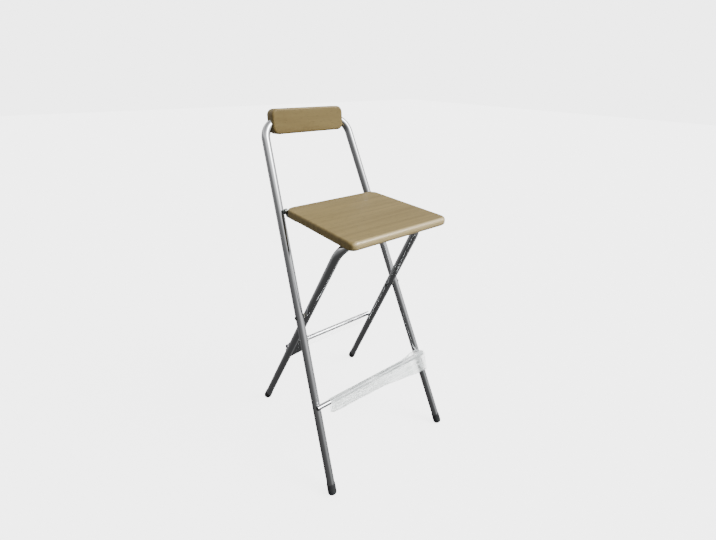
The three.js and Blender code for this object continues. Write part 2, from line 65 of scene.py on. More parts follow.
def addNode(tree, kind, settings=None, links=None):
    node = tree.nodes.new(kind)
    for name, value in (settings or {}).items():
        if isinstance(name, int) or name in node.inputs:
            node.inputs[name].default_value = value
        else:
            setattr(node, name, value)
    for name, source in (links or {}).items():
        tree.links.new(source, node.inputs[name])
    return node


def colourSteps(node, steps):
    ramp = node.color_ramp
    while len(ramp.elements) < len(steps):
        ramp.elements.new(0.5)
    for element, (place, colour) in zip(ramp.elements, steps):
        element.position = place
        element.color = linear(colour) if isinstance(colour, str) else (colour,) * 3 + (1.0,)
    return node


def startMaterial(name, base, metallic, roughness):
    material = bpy.data.materials.new(name)
    material.use_nodes = True
    tree = material.node_tree
    shader = tree.nodes["Principled BSDF"]
    shader.inputs["Base Color"].default_value = linear(base)
    shader.inputs["Metallic"].default_value = metallic
    shader.inputs["Roughness"].default_value = roughness
    place = addNode(tree, "ShaderNodeTexCoord").outputs["Object"]
    return material, tree, shader, place


# Lacquered beech: calm bands along the width of the board, short darker flecks, a satin sheen,
# and a painted highlight along the front edge: a paler colour that stands in for light on its rounded edge, under a
# glossier coat.
beechLook = {
    # the last colour is the front edge's painted highlight, paler wood for the light on its rounded edge
    "light": "#ac965f", "middle": "#a28d58", "dark": "#957f4c", "fleck": "#887140", "frontHighlight": "#ead193",
    "bandLength": 260, "bandWidth": 14,   # mm
    "fleckLength": 16, "fleckWidth": 1.3, "fleckDepth": 0.05,  # mm, coarser than real flecks so that they show
    "roughness": 0.5, "smoother": -0.05, "rougher": 0.08,
    # the front edge's painted highlight, paler and under a glossier coat, fades in over this depth
    "frontEdge": -223.7, "highlightFrom": 9, "highlightTo": 2,       # mm behind the front edge
    "highlightCoatRoughness": 0.22,
}


def lacqueredBeech():
    look = beechLook
    material, tree, shader, place = startMaterial("lacqueredBeech", look["middle"], 0, look["roughness"])
    acrossBand, acrossFleck = look["bandWidth"] * mm, look["fleckWidth"] * mm
    bandScale = (1 / (look["bandLength"] * mm), 1 / acrossBand, 0.6 / acrossBand)
    bandPlace = addNode(tree, "ShaderNodeMapping", {"Scale": bandScale}, {"Vector": place})
    bands = addNode(tree, "ShaderNodeTexNoise",
                    {"Scale": 1.0, "Detail": 5.0, "Roughness": 0.55, "Distortion": 0.4},
                    {"Vector": bandPlace.outputs["Vector"]})
    fleckScale = (1 / (look["fleckLength"] * mm), 1 / acrossFleck, 1 / acrossFleck)
    fleckPlace = addNode(tree, "ShaderNodeMapping", {"Scale": fleckScale}, {"Vector": place})
    flecks = addNode(tree, "ShaderNodeTexNoise", {"Scale": 1.0, "Detail": 2.0, "Roughness": 0.5},
                     {"Vector": fleckPlace.outputs["Vector"]})
    bandColour = colourSteps(
        addNode(tree, "ShaderNodeValToRGB", links={"Fac": bands.outputs["Fac"]}),
        [(0.30, look["dark"]), (0.5, look["middle"]), (0.72, look["light"])])
    fleckMask = colourSteps(
        addNode(tree, "ShaderNodeValToRGB", links={"Fac": flecks.outputs["Fac"]}),
        [(0.60, 0.0), (0.72, 0.5)])
    colour = addNode(tree, "ShaderNodeMix",
                     {"data_type": "RGBA", "blend_type": "MULTIPLY", 7: linear(look["fleck"])},
                     {0: fleckMask.outputs["Color"], 6: bandColour.outputs["Color"]})
    frontness = addNode(tree, "ShaderNodeSeparateXYZ", links={"Vector": place}).outputs["Y"]
    # painted highlight: the front edge is painted paler to stand in for light on its rounded edge; the same mask
    # puts a glossier coat there
    frontHighlight = addNode(tree, "ShaderNodeMapRange",
                     {"interpolation_type": "SMOOTHSTEP",
                      "From Min": (look["frontEdge"] + look["highlightFrom"]) * mm,
                      "From Max": (look["frontEdge"] + look["highlightTo"]) * mm},
                     {"Value": frontness}).outputs["Result"]
    wearAndHighlight = addNode(tree, "ShaderNodeMix", {"data_type": "RGBA", 7: linear(look["frontHighlight"])},
                   {0: frontHighlight, 6: colour.outputs[2]})
    tree.links.new(wearAndHighlight.outputs[2], shader.inputs["Base Color"])
    rough = addNode(tree, "ShaderNodeMapRange",
                    {"To Min": look["roughness"] + look["smoother"], "To Max": look["roughness"] + look["rougher"]},
                    {"Value": bands.outputs["Fac"]})
    tree.links.new(rough.outputs["Result"], shader.inputs["Roughness"])
    tree.links.new(frontHighlight, shader.inputs["Coat Weight"])
    shader.inputs["Coat Roughness"].default_value = look["highlightCoatRoughness"]
    bump = addNode(tree, "ShaderNodeBump", {"Strength": 0.25, "Distance": look["fleckDepth"] * mm},
                   {"Height": flecks.outputs["Fac"]})
    tree.links.new(bump.outputs["Normal"], shader.inputs["Normal"])
    return material


# Chromed steel tube: a mirror with a faint draw texture, and duller where hands have held it.
chromeLook = {
    "colour": "#c4c5c7", "roughness": 0.07, "cleaner": -0.02, "duller": 0.06,
    "smudge": 45, "drawWidth": 1.5, "drawDepth": 0.02,     # mm
    "drawStretch": (1, 1, 0.02),     # the lines are fifty times as long as wide
}


def chromedSteel():
    look = chromeLook
    material, tree, shader, place = startMaterial("chromedSteel", look["colour"], 1, look["roughness"])
    smudges = addNode(tree, "ShaderNodeTexNoise", {"Scale": 1 / (look["smudge"] * mm), "Detail": 4.0},
                      {"Vector": place})
    rough = addNode(tree, "ShaderNodeMapRange",
                    {"From Min": 0.35, "From Max": 0.7,
                     "To Min": look["roughness"] + look["cleaner"], "To Max": look["roughness"] + look["duller"]},
                    {"Value": smudges.outputs["Fac"]})
    tree.links.new(rough.outputs["Result"], shader.inputs["Roughness"])
    drawPlace = addNode(tree, "ShaderNodeMapping", {"Scale": look["drawStretch"]}, {"Vector": place})
    draw = addNode(tree, "ShaderNodeTexNoise", {"Scale": 1 / (look["drawWidth"] * mm), "Detail": 2.0},
                   {"Vector": drawPlace.outputs["Vector"]})
    bump = addNode(tree, "ShaderNodeBump", {"Strength": 0.08, "Distance": look["drawDepth"] * mm},
                   {"Height": draw.outputs["Fac"]})
    tree.links.new(bump.outputs["Normal"], shader.inputs["Normal"])
    return material


# Zinc-plated steel: grey and dull, with a fine crystalline mottle.
zincLook = {"light": "#8f938f", "dark": "#6c716c", "roughness": 0.38, "smoother": -0.08, "rougher": 0.12,
            "mottle": 2.5}     # mm


def zincPlatedSteel():
    look = zincLook
    material, tree, shader, place = startMaterial("zincPlatedSteel", look["light"], 1, look["roughness"])
    mottle = addNode(tree, "ShaderNodeTexNoise", {"Scale": 1 / (look["mottle"] * mm), "Detail": 6.0},
                     {"Vector": place})
    colour = colourSteps(addNode(tree, "ShaderNodeValToRGB", links={"Fac": mottle.outputs["Fac"]}),
                         [(0.35, look["dark"]), (0.7, look["light"])])
    tree.links.new(colour.outputs["Color"], shader.inputs["Base Color"])
    rough = addNode(tree, "ShaderNodeMapRange",
                    {"To Min": look["roughness"] + look["smoother"], "To Max": look["roughness"] + look["rougher"]},
                    {"Value": mottle.outputs["Fac"]})
    tree.links.new(rough.outputs["Result"], shader.inputs["Roughness"])
    return material


# Moulded polyethylene: dark grey caps and clips, slightly waxy, scuffed where they touch the floor.
mouldedLook = {"colour": "#3f4042", "scuff": "#5b5c5d", "roughness": 0.42, "scuffedRougher": 0.3,
               "grain": 0.8, "grainDepth": 0.03, "patch": 6, "scuffHeight": 14}     # mm


def mouldedPolyethylene():
    look = mouldedLook
    material, tree, shader, place = startMaterial("mouldedPolyethylene", look["colour"], 0, look["roughness"])
    grain = addNode(tree, "ShaderNodeTexNoise", {"Scale": 1 / (look["grain"] * mm), "Detail": 3.0},
                    {"Vector": place})
    patches = addNode(tree, "ShaderNodeTexNoise", {"Scale": 1 / (look["patch"] * mm), "Detail": 4.0},
                      {"Vector": place})
    height = addNode(tree, "ShaderNodeSeparateXYZ", links={"Vector": place}).outputs["Z"]
    low = addNode(tree, "ShaderNodeMapRange",
                  {"From Min": look["scuffHeight"] * mm, "From Max": 0.0, "To Max": 0.8}, {"Value": height})
    wearAndHighlight = addNode(tree, "ShaderNodeMath", {"operation": "MULTIPLY"},
                   {0: low.outputs["Result"], 1: patches.outputs["Fac"]})
    colour = addNode(tree, "ShaderNodeMix",
                     {"data_type": "RGBA", 6: linear(look["colour"]), 7: linear(look["scuff"])},
                     {0: wearAndHighlight.outputs["Value"]})
    tree.links.new(colour.outputs[2], shader.inputs["Base Color"])
    rough = addNode(tree, "ShaderNodeMapRange",
                    {"To Min": look["roughness"], "To Max": look["roughness"] + look["scuffedRougher"]},
                    {"Value": wearAndHighlight.outputs["Value"]})
    tree.links.new(rough.outputs["Result"], shader.inputs["Roughness"])
    bump = addNode(tree, "ShaderNodeBump", {"Strength": 0.2, "Distance": look["grainDepth"] * mm},
                   {"Height": grain.outputs["Fac"]})
    tree.links.new(bump.outputs["Normal"], shader.inputs["Normal"])
    return material


# Natural nylon: off-white washers with a soft, slightly see-through look.
nylonLook = {"light": "#e2e1da", "middle": "#d9d8cf", "dark": "#cbc9bf", "roughness": 0.45, "cloud": 3,     # mm
             "seeThrough": 0.15, "lightReach": (0.002, 0.002, 0.0015)}     # metres, by red, green and blue


def naturalNylon():
    look = nylonLook
    material, tree, shader, place = startMaterial("naturalNylon", look["middle"], 0, look["roughness"])
    cloud = addNode(tree, "ShaderNodeTexNoise", {"Scale": 1 / (look["cloud"] * mm), "Detail": 3.0},
                    {"Vector": place})
    colour = colourSteps(addNode(tree, "ShaderNodeValToRGB", links={"Fac": cloud.outputs["Fac"]}),
                         [(0.3, look["dark"]), (0.75, look["light"])])
    tree.links.new(colour.outputs["Color"], shader.inputs["Base Color"])
    shader.inputs["Subsurface Weight"].default_value = look["seeThrough"]
    shader.inputs["Subsurface Radius"].default_value = look["lightReach"]
    return material


# Polyethylene packing film: a milky sheet with painted shade, greyer, in the creases along the bar.
# The sheet's own attributes say how cloudy and how shaded each place is.
filmLook = {
    # the crease colour is painted shade for the sheet's creases
    "tint": "#fbfdfc", "crease": "#bcc4c1", "shade": "#2a2c2e",
    "streakLength": 80, "streakWidth": 6, "streakDepth": 0.4,     # mm
    "roughness": 0.5, "contrast": 0.35, "transmission": 0.8, "coat": 0.6, "coatRoughness": 0.15,
    "refraction": 1.2,      # a thin sheet bends light little
}


def packingFilm():
    look = filmLook
    material, tree, shader, place = startMaterial("polyethyleneFilm", look["tint"], 0, look["roughness"])
    acrossStreak = look["streakWidth"] * mm
    streakScale = (1 / (look["streakLength"] * mm), 1 / acrossStreak, 1 / acrossStreak)
    streakPlace = addNode(tree, "ShaderNodeMapping", {"Scale": streakScale}, {"Vector": place})
    streaks = addNode(tree, "ShaderNodeTexNoise",
                      {"Scale": 1.0, "Detail": 2.0, "Roughness": 0.5, "Distortion": 0.3},
                      {"Vector": streakPlace.outputs["Vector"]})
    cloudy = addNode(tree, "ShaderNodeAttribute", {"attribute_name": "cloudy"})
    shaded = addNode(tree, "ShaderNodeAttribute", {"attribute_name": "shaded"})
    vary = addNode(tree, "ShaderNodeMapRange",
                   {"From Min": 0.3, "From Max": 0.7,
                    "To Min": 1 - look["contrast"], "To Max": 1 + look["contrast"]},
                   {"Value": streaks.outputs["Fac"]})
    alpha = addNode(tree, "ShaderNodeMath", {"operation": "MULTIPLY", "use_clamp": True},
                    {0: cloudy.outputs["Fac"], 1: vary.outputs["Result"]})
    tree.links.new(alpha.outputs["Value"], shader.inputs["Alpha"])
    # painted shade: the sheet is greyer in its creases
    colour = colourSteps(addNode(tree, "ShaderNodeValToRGB", links={"Fac": streaks.outputs["Fac"]}),
                         [(0.32, look["crease"]), (0.55, look["tint"])])
    dimmed = addNode(tree, "ShaderNodeMix", {"data_type": "RGBA", 7: linear(look["shade"])},
                     {0: shaded.outputs["Fac"], 6: colour.outputs["Color"]})
    tree.links.new(dimmed.outputs[2], shader.inputs["Base Color"])
    bump = addNode(tree, "ShaderNodeBump", {"Strength": 0.4, "Distance": look["streakDepth"] * mm},
                   {"Height": streaks.outputs["Fac"]})
    tree.links.new(bump.outputs["Normal"], shader.inputs["Normal"])
    shader.inputs["Transmission Weight"].default_value = look["transmission"]
    shader.inputs["IOR"].default_value = look["refraction"]
    shader.inputs["Coat Weight"].default_value = look["coat"]
    shader.inputs["Coat Roughness"].default_value = look["coatRoughness"]
    return material


beech = lacqueredBeech()
chrome = chromedSteel()
zinc = zincPlatedSteel()
plastic = mouldedPolyethylene()
nylon = naturalNylon()
film = packingFilm()
print("materials made")


# CAD pieces: a material each, and smooth shading up to a crease, from joined vertices
cadShading = {"crease": 38}     # degrees between faces


def finishOf(name):
    if name.endswith("_bar") or name == "rear_stretcher" or name.endswith("_tube"):
        return chrome
    if name in ("back_pad", "seat_board"):
        return beech
    if "sleeve" in name:
        return film
    if "spacer" in name:
        return nylon
    if "cap" in name or "plug" in name or "seat_hook" in name:
        return plastic
    return zinc


for name, node in nodes.items():
    node.data.materials.clear()
    node.data.materials.append(finishOf(name))
    if "custom_normal" in node.data.attributes:
        node.data.attributes.remove(node.data.attributes["custom_normal"])
    for polygon in node.data.polygons:
        polygon.use_smooth = True
    joined = node.modifiers.new("joined", "WELD")
    joined.merge_threshold = nearly * mm
    creased = node.modifiers.new("creased", "EDGE_SPLIT")
    creased.split_angle = math.radians(cadShading["crease"])
    creased.use_edge_sharp = False
print("CAD pieces dressed")


def newPiece(name, bm, material, body, sharpAngle=35):
    bmesh.ops.recalc_face_normals(bm, faces=bm.faces)
    limit = math.radians(sharpAngle)
    for face in bm.faces:
        face.smooth = True
    for edge in bm.edges:
        edge.smooth = len(edge.link_faces) == 2 and edge.calc_face_angle(0) < limit
    mesh = bpy.data.meshes.new(name)
    bm.to_mesh(mesh)
    bm.free()
    mesh.materials.append(material)
    piece = bpy.data.objects.new(name, mesh)
    bpy.context.scene.collection.objects.link(piece)
    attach(piece, body)
    return piece


# Bent tubes: a ring drawn up one leg, spun round the bend, across and down the other leg.
# Heights are along each frame's own upright, from the pivot. Side -1 is before the frame, side 1 behind it.
tubeSize = {"radius": 11, "bendRadius": 48, "sides": 48, "bendSteps": 24}
backTube = {"top": 516, "halfWidth": stance["pivotHalfWidth"], "footLift": 10.96, "lean": stance["frontLean"],
            "barAt": -248.97, "barSide": -1}
rearTube = {"top": 273.3, "halfWidth": stance["rearPivotHalfWidth"], "footLift": 11.63,
            "lean": stance["rearLean"], "barAt": -207.7, "barSide": 1}


def sweepFrame(shape, place, radius, reach=0):
    splay = math.radians(stance["splay"])
    legEnd = -stance["pivot"][2] / math.cos(math.radians(shape["lean"]))
    foot = Vector((-(shape["halfWidth"] - legEnd * math.tan(splay)), 0, legEnd))
    up = Vector((math.sin(splay), 0, math.cos(splay)))
    corner = Vector((-(shape["halfWidth"] - shape["top"] * math.tan(splay)), 0, shape["top"]))
    turn = math.pi / 2 - splay
    trim = tubeSize["bendRadius"] * math.tan(turn / 2)
    start = foot + up * shape["footLift"]
    bendStart = corner - up * trim
    bendCentre = bendStart + Vector((math.cos(splay), 0, -math.sin(splay))) * tubeSize["bendRadius"]
    bm = bmesh.new()
    ring = bmesh.ops.create_circle(bm, cap_ends=False, segments=tubeSize["sides"], radius=radius)
    behind = [v for v in ring["verts"] if v.co.y > nearly]     # drawn back, the ring cuts a slot open to the rear
    bmesh.ops.translate(bm, verts=behind, vec=(0, reach, 0))
    bmesh.ops.rotate(bm, verts=ring["verts"], matrix=Matrix.Rotation(splay, 3, "Y"))
    bmesh.ops.translate(bm, verts=ring["verts"], vec=start)

    def draw(edges, way):
        made = bmesh.ops.extrude_edge_only(bm, edges=edges)["geom"]
        bmesh.ops.translate(bm, verts=[v for v in made if isinstance(v, bmesh.types.BMVert)], vec=way)
        return [e for e in made if isinstance(e, bmesh.types.BMEdge)
                and all(v in made for v in e.verts)]

    def bend(edges, centre):
        made = bmesh.ops.spin(bm, geom=edges, cent=centre, axis=(0, 1, 0), angle=turn,
                              steps=tubeSize["bendSteps"], use_merge=False)
        return [e for e in made["geom_last"] if isinstance(e, bmesh.types.BMEdge)]

    edges = draw(list(bm.edges), bendStart - start)
    edges = bend(edges, bendCentre)
    edges = draw(edges, Vector((-2 * bendCentre.x, 0, 0)))
    edges = bend(edges, Vector((-bendCentre.x, 0, bendCentre.z)))
    draw(edges, Vector((up.x, 0, -up.z)) * (bendStart - start).length)
    bmesh.ops.holes_fill(bm, edges=[e for e in bm.edges if e.is_boundary])
    bmesh.ops.scale(bm, verts=bm.verts, vec=(mm, mm, mm))
    bmesh.ops.transform(bm, verts=bm.verts, matrix=place)
    return bm


backBm = sweepFrame(backTube, backFramePlace, tubeSize["radius"])
rearBm = sweepFrame(rearTube, rearFramePlace, tubeSize["radius"])
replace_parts(newPiece("backTube", backBm, chrome, "back_frame"), "back_frame_tube")
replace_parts(newPiece("rearTube", rearBm, chrome, "rear_frame"), "rear_frame_tube")
print("tubes bent")


# Weld beads between each bar and its legs: a ring round the touching spot, bent to both tubes
barSize = {"radius": 7, "away": 18.3}     # its middle from the legs' middle
weldSize = {"ring": 5.4, "bead": 1.5, "away": 11.15, "beadSides": 10, "ringSteps": 30,
            "ripples": 9, "ripple": 0.25, "join": 0.001, "sharp": 70}


def barWelds(name, shape, place, body):
    side, height = shape["barSide"], shape["barAt"]
    bm = bmesh.new()
    ring = bmesh.ops.create_circle(bm, cap_ends=False, segments=weldSize["beadSides"], radius=weldSize["bead"])
    bmesh.ops.translate(bm, verts=ring["verts"], vec=(weldSize["ring"], 0, 0))
    bmesh.ops.spin(bm, geom=bm.verts[:] + bm.edges[:], cent=(0, 0, 0), axis=(0, 1, 0),
                   angle=2 * math.pi, steps=weldSize["ringSteps"], use_merge=True)
    for vert in bm.verts:
        x, y, z = vert.co
        sag = x ** 2 / (4 * tubeSize["radius"]) - z ** 2 / (4 * barSize["radius"])
        ripple = weldSize["ripple"] * math.sin(weldSize["ripples"] * math.atan2(z, x))
        vert.co.y = y * (1 + ripple) - side * sag
    bmesh.ops.remove_doubles(bm, verts=bm.verts, dist=weldSize["join"])
    legAt = shape["halfWidth"] - height * math.tan(math.radians(stance["splay"]))
    bmesh.ops.translate(bm, verts=bm.verts, vec=(legAt, side * weldSize["away"], height))
    other = bmesh.ops.duplicate(bm, geom=bm.verts[:] + bm.edges[:] + bm.faces[:])["geom"]
    bmesh.ops.scale(bm, verts=[v for v in other if isinstance(v, bmesh.types.BMVert)], vec=(-1, 1, 1))
    bmesh.ops.scale(bm, verts=bm.verts, vec=(mm, mm, mm))
    bmesh.ops.transform(bm, verts=bm.verts, matrix=place)
    newPiece(name, bm, chrome, body, weldSize["sharp"])


barWelds("footrestWelds", backTube, backFramePlace, "back_frame")
barWelds("stretcherWelds", rearTube, rearFramePlace, "rear_frame")
print("bars welded")


# Boards: a block with rounded corners, then rounded edges, in millimetres about its own centre
seatShape = {"size": (294, 292.97, 22), "rearCorner": 24, "frontCorner": 16, "edge": 5,
             "frontEdge": 10, "frontFade": 14,     # the edge grows rounder over this depth of the front corners
             "centre": (0, -77.26, 729)}
padShape = {"size": (220, 63, 36), "rearCorner": 17, "frontCorner": 17, "edge": 5,
            "forward": 1.5, "rise": 0.5, "tilt": 4,
            "grooveGap": 0.3, "grooveReach": 60}     # round the tube, and open to the rear
boardMesh = {"cornerSteps": 14, "edgeSteps": 8, "frontSteps": 10, "sharp": 60}


def roundedBlock(shape):
    width, depth, thickness = shape["size"]
    bm = bmesh.new()
    bmesh.ops.create_cube(bm, size=1)
    bmesh.ops.scale(bm, verts=bm.verts, vec=shape["size"])
    for corner, end in (("rearCorner", 1), ("frontCorner", -1)):
        upright = [e for e in bm.edges if abs(e.verts[0].co.z - e.verts[1].co.z) > thickness / 2
                   and end * e.verts[0].co.y > depth / 2 - nearly and abs(e.verts[0].co.x) > width / 2 - nearly]
        bmesh.ops.bevel(bm, geom=upright, offset=shape[corner], offset_type="OFFSET",
                        segments=boardMesh["cornerSteps"], profile=0.5, affect="EDGES", material=-1)
    bm.normal_update()
    if "frontEdge" in shape:
        weighRim(bm, shape)
    else:
        bmesh.ops.bevel(bm, geom=rimOf(bm), offset=shape["edge"], offset_type="OFFSET",
                        segments=boardMesh["edgeSteps"], profile=0.5, affect="EDGES", material=-1)
    return bm


def rimOf(bm):     # where the top and the underside meet the sides
    return [e for e in bm.edges if sum(abs(f.normal.z) > 0.9 for f in e.link_faces) == 1]


def weighRim(bm, shape):     # rounder at the front, by weights for a bevel modifier
    weight = bm.edges.layers.float.new("bevel_weight_edge")
    least = shape["edge"] / shape["frontEdge"]
    for edge in rimOf(bm):
        middle = (edge.verts[0].co.y + edge.verts[1].co.y) / 2
        front = -middle - shape["size"][1] / 2 + shape["frontCorner"]
        edge[weight] = least + (1 - least) * min(1, max(0, front / shape["frontFade"]))


def carve(bm, cutter):     # takes one bmesh out of the other
    blanks = []
    for shape in (bm, cutter):
        bmesh.ops.recalc_face_normals(shape, faces=shape.faces)
        mesh = bpy.data.meshes.new("blank")
        shape.to_mesh(mesh)
        shape.free()
        blanks.append(bpy.data.objects.new("blank", mesh))
        bpy.context.scene.collection.objects.link(blanks[-1])
    cutting = blanks[0].modifiers.new("cutting", "BOOLEAN")
    cutting.object = blanks[1]
    cutting.solver = "EXACT"
    carved = bmesh.new()
    carved.from_object(blanks[0], bpy.context.evaluated_depsgraph_get())
    for blank in blanks:
        bpy.data.objects.remove(blank)
    return carved


def finishBoard(name, bm, replaced, body, rounding=0):
    sharpAngle = 180 if rounding else boardMesh["sharp"]     # the modifier rounds every edge that is left
    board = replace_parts(newPiece(name, bm, beech, body, sharpAngle), replaced)
    if rounding:
        rounded = board.modifiers.new("roundedEdges", "BEVEL")
        rounded.limit_method = "WEIGHT"
        rounded.width, rounded.segments = rounding * mm, boardMesh["frontSteps"]
    flat = board.modifiers.new("flatFaces", "WEIGHTED_NORMAL")
    flat.keep_sharp = True


seatBm = roundedBlock(seatShape)
bmesh.ops.translate(seatBm, verts=seatBm.verts, vec=seatShape["centre"])
bmesh.ops.scale(seatBm, verts=seatBm.verts, vec=(mm, mm, mm))
finishBoard("seatTop", seatBm, "seat_board", "seat", seatShape["frontEdge"])

padBm = roundedBlock(padShape)
bmesh.ops.scale(padBm, verts=padBm.verts, vec=(mm, mm, mm))
padOffset = Matrix.Translation((0, -padShape["forward"] * mm, padShape["rise"] * mm))
standing = padOffset @ Matrix.Rotation(math.pi / 2, 4, "X")
padTurn = Matrix.Rotation(math.radians(stance["frontLean"] - padShape["tilt"]), 4, "X")
padPlace = backFramePlace @ Matrix.Translation((0, 0, backTube["top"] * mm)) @ padTurn @ standing
bmesh.ops.transform(padBm, verts=padBm.verts, matrix=padPlace)
groove = sweepFrame(backTube, backFramePlace, tubeSize["radius"] + padShape["grooveGap"], padShape["grooveReach"])
padBm = carve(padBm, groove)
finishBoard("backPad", padBm, "back_pad", "back_frame")
print("boards made")


# Packing film: a loose tube of sheet round each bar, hanging below it and creased along it
def barPlace(place, shape):
    return place @ Vector((0, shape["barSide"] * barSize["away"] * mm, shape["barAt"] * mm)) / mm


# Each list gives places along the bar and a value at each: how far the sheet rises above the bar's middle
# and hangs below it, how far it is turned about the bar, and how shaded it is.
footFilm = {
    "bar": barPlace(backFramePlace, backTube), "start": -157, "end": 203.4,
    "rise": [(-157, 8.6), (100, 9), (125, 12), (155, 18), (172, 17), (203, 8.6)],
    "hang": [(-157, 37), (-145, 46), (-40, 48), (5, 44.5), (35, 43.5), (65, 45), (95, 48), (125, 50),
             (170, 55), (203, 57)],
    "turn": [(-157, 0), (-40, 0), (140, -24), (203, -24)],      # clear of the folded legs
    "shaded": [(0, 0)],
    # at the right end, where both legs lie close to the bar, it is open behind this place on the frame's own Y
    "slitFrom": 150, "slitBehind": -12.2,
    "seed": 3, "onBar": 0.75, "hanging": 0.72,     # how cloudy it is
}
rearFilm = {
    "bar": barPlace(rearFramePlace, rearTube), "start": -151, "end": 140,
    "rise": [(-151, 11), (-141, 14), (-124, 36), (-112, 34), (-80, 8.6), (140, 8.6)],
    "hang": [(-151, 42), (-113, 38), (-80, 28), (140, 28)],
    "turn": [(0, 0)],
    "shaded": [(-151, 1), (-108, 1), (-84, 0)],       # gathered at the left end, where little light gets in
    "seed": 11, "onBar": 0.05, "hanging": 0.09,
}
sheetForm = {
    "radius": 8.6, "fold": 1.6, "thickness": 0.2, "stepsAlong": 150, "stepsRound": 64, "sharp": 70,
    "crease": 1.1, "wrinkle": 0.9, "slant": 0.5, "pull": 0.2, "upShare": 0.5,     # how high the creases stand
    "wrinkleSize": (55, 9, 7), "wrinkleDrift": 90,     # along the bar, across it and down
    "slantSize": (24, 11), "slantDrift": 30, "slantSeed": 5,
    "snug": 0.35, "looseBy": 22,     # how loose the sheet is at the bar, and how far from it it is quite loose
    "cloudFrom": 3, "cloudOver": 9,     # how far below the bar it turns cloudy
    "shadedCover": 3,
}


def ridge(at, seed):     # sharp crests; each seed reads another part of the noise
    value = noise.noise(Vector(at) + Vector((seed * 7.3, seed * 3.1, 0)))
    return 1 - 2 * abs(value)


def along(steps, x):     # the value at x, straight between the steps
    for (x0, value0), (x1, value1) in zip(steps, steps[1:]):
        if x <= x1:
            return value0 + (value1 - value0) * max(0, (x - x0) / (x1 - x0))
    return steps[-1][1]


# One ring of the sheet: stretched round the bar and the two folds above and below it, then creased
def filmRing(shape, x):
    form, fold = sheetForm, sheetForm["fold"]
    rise, hang = along(shape["rise"], x), along(shape["hang"], x)
    tilt = math.radians(along(shape["turn"], x))
    discs = [(rise - fold, fold), (0, form["radius"]), (fold - hang, fold)]
    wrinkleLength, wrinkleAcross, wrinkleWidth = form["wrinkleSize"]
    slantLength, slantWidth = form["slantSize"]
    points = []
    for i in range(form["stepsRound"]):
        angle = 2 * math.pi * i / form["stepsRound"]
        across, up = math.cos(angle), math.sin(angle)
        height, radius = max(discs, key=lambda disc: disc[0] * up + disc[1])
        y, z = radius * across, height + radius * up
        loose = min(1, form["snug"] + abs(z) / form["looseBy"])
        wrinkle = ridge((x / wrinkleLength, y / wrinkleAcross, z / wrinkleWidth + x / form["wrinkleDrift"]),
                        shape["seed"])
        slant = ridge((x / slantLength, z / slantWidth - x / form["slantDrift"], across),
                      shape["seed"] + form["slantSeed"])
        puff = form["crease"] * loose * (form["wrinkle"] * wrinkle + form["slant"] * slant - form["pull"])
        y, z = y + puff * across, z + puff * up * form["upShare"]
        points.append(Vector((x, y * math.cos(tilt) - z * math.sin(tilt),
                              y * math.sin(tilt) + z * math.cos(tilt))))
    return points


def filmSleeve(name, replaced, shape, body):
    form, bm = sheetForm, bmesh.new()
    cloudy = bm.verts.layers.float.new("cloudy")
    shaded = bm.verts.layers.float.new("shaded")
    rings = []
    for i in range(form["stepsAlong"] + 1):
        x = shape["start"] + (shape["end"] - shape["start"]) * i / form["stepsAlong"]
        points = filmRing(shape, x)
        dark = along(shape["shaded"], x)
        ring = [bm.verts.new((point + Vector((0, *shape["bar"][1:]))) * mm) for point in points]
        for vert, point in zip(ring, points):
            hanging = min(1, max(0, (-point.z - form["cloudFrom"]) / form["cloudOver"]))
            cloud = shape["onBar"] + (shape["hanging"] - shape["onBar"]) * hanging
            vert[cloudy] = cloud + form["shadedCover"] * dark
            vert[shaded] = dark
        rings.append(ring)
    for before, after in zip(rings, rings[1:]):
        for a, b, c, d in zip(before, before[1:] + before[:1], after[1:] + after[:1], after):
            bm.faces.new((a, b, c, d))
    if "slitFrom" in shape:
        toFrame = backFramePlace.inverted()
        behind = [f for f in bm.faces if f.calc_center_median().x > shape["slitFrom"] * mm
                  and any((toFrame @ v.co).y > shape["slitBehind"] * mm for v in f.verts)]
        bmesh.ops.delete(bm, geom=behind, context="FACES")
    area = sum(f.calc_area() for f in bm.faces)
    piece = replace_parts(newPiece(name, bm, film, body, form["sharp"]), replaced)
    thick = piece.modifiers.new("sheetThickness", "SOLIDIFY")
    thick.thickness = form["thickness"] * mm
    thick.offset = 0


filmSleeve("footFilm", "footrest_sleeve", footFilm, "back_frame")
filmSleeve("rearFilm", "stretcher_sleeve", rearFilm, "rear_frame")
print("film hung")


# Camera, as the photograph's was found; angles in radians
cameraPlace = {"at": (-601.8, -829.8, 1060.6), "yaw": 0.663, "pitch": -0.468, "roll": 0.014,
               "lens": 20.06, "sensor": 36, "clip": (0.01, 50),     # clip in metres
               "shift": (-1.1 / 716, 1.3 / 716)}     # the photograph's centre lies a pixel off the frame's


def placeCamera(cam):
    yaw, pitch, roll = cam["yaw"], cam["pitch"], cam["roll"]
    ahead = Vector((math.cos(pitch) * math.sin(yaw), math.cos(pitch) * math.cos(yaw), math.sin(pitch)))
    right = Vector((math.cos(yaw), -math.sin(yaw), 0))
    above = right.cross(ahead)
    turnedRight = right * math.cos(roll) + above * math.sin(roll)
    turnedUp = above * math.cos(roll) - right * math.sin(roll)
    axes = Matrix((turnedRight, turnedUp, -ahead)).transposed()
    data = bpy.data.cameras.new("camera")
    data.sensor_width = cam["sensor"]
    data.lens = cam["lens"]
    data.shift_x, data.shift_y = cam["shift"]
    data.clip_start, data.clip_end = cam["clip"]
    camera = bpy.data.objects.new("camera", data)
    bpy.context.scene.collection.objects.link(camera)
    camera.matrix_world = Matrix.Translation(Vector(cam["at"]) * mm) @ axes.to_4x4()
    bpy.context.scene.camera = camera


placeCamera(cameraPlace)


